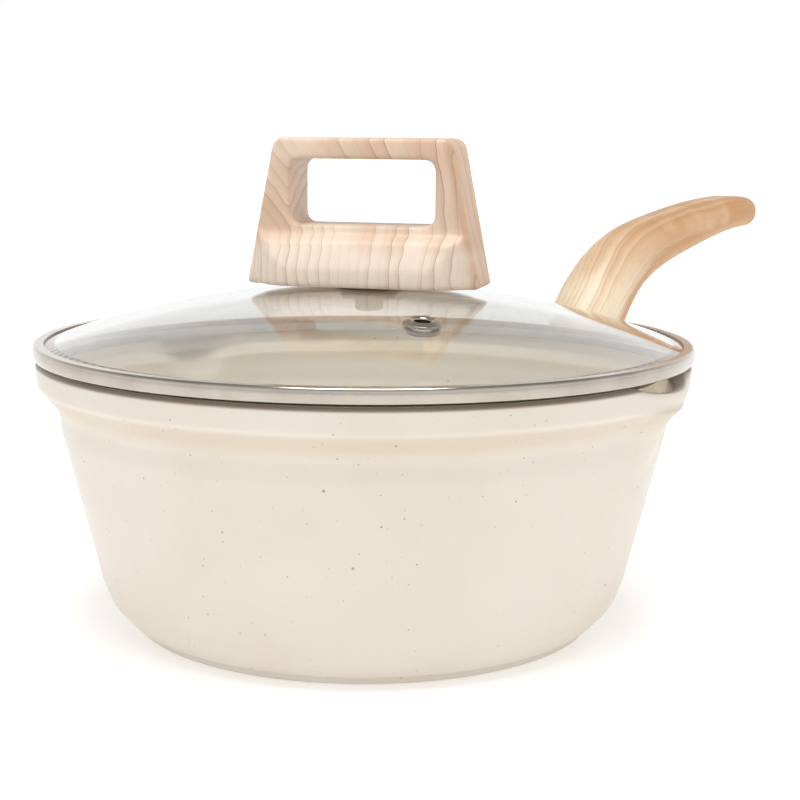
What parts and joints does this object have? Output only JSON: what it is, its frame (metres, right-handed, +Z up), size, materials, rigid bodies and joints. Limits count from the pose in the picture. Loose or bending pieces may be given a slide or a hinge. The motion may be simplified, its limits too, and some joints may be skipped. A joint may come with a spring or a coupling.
{
  "type": "saucepan with glass lid",
  "caption": "Tapered cast saucepan with two pouring spouts, a curved wood-look side handle and a lift-off domed glass lid with a loop knob.",
  "frame": {"origin": "centre of the pan's base, on the surface it stands on", "axes": "+Z up, +X along the side handle, the pouring spouts face about +Y and -Y"},
  "size_m": [0.3654, 0.2062, 0.1512],
  "materials": {
    "pan_coating": "satin cream ceramic-look coating with brown specks",
    "plate_steel": "circular brushed",
    "steel": "satin",
    "screw_steel": "satin",
    "polished_steel": "polished",
    "handle_wood": "soft-touch wood print on moulded resin",
    "knob_wood": "soft-touch wood print on moulded resin",
    "clear_glass": "clear tempered",
    "silicone": "translucent",
    "brass": "machined"
  },
  "bodies": {
    "pan": {"pan_body": "pan_coating", "induction_plate": "plate_steel", "handle_bracket": "steel", "bracket_screws": "screw_steel", "flame_guard": "polished_steel", "handle_grip": "handle_wood", "handle_lock_washer": "steel", "handle_screw": "steel"},
    "lid": {"lid_glass": "clear_glass", "lid_ring": "polished_steel", "ring_seal": "silicone", "vent_eyelet": "polished_steel", "vent_washer": "steel", "lid_knob": "knob_wood", "knob_insert": "brass", "knob_pad": "silicone", "knob_seal": "silicone", "knob_washer": "steel", "knob_lock_washer": "steel", "knob_screw": "steel"}
  },
  "joints": [
    {"name": "lid_lift", "type": "slide", "parent": "pan", "child": "lid", "axis": [0, 0, 1], "range_m": [0, 0.12]}
  ]
}
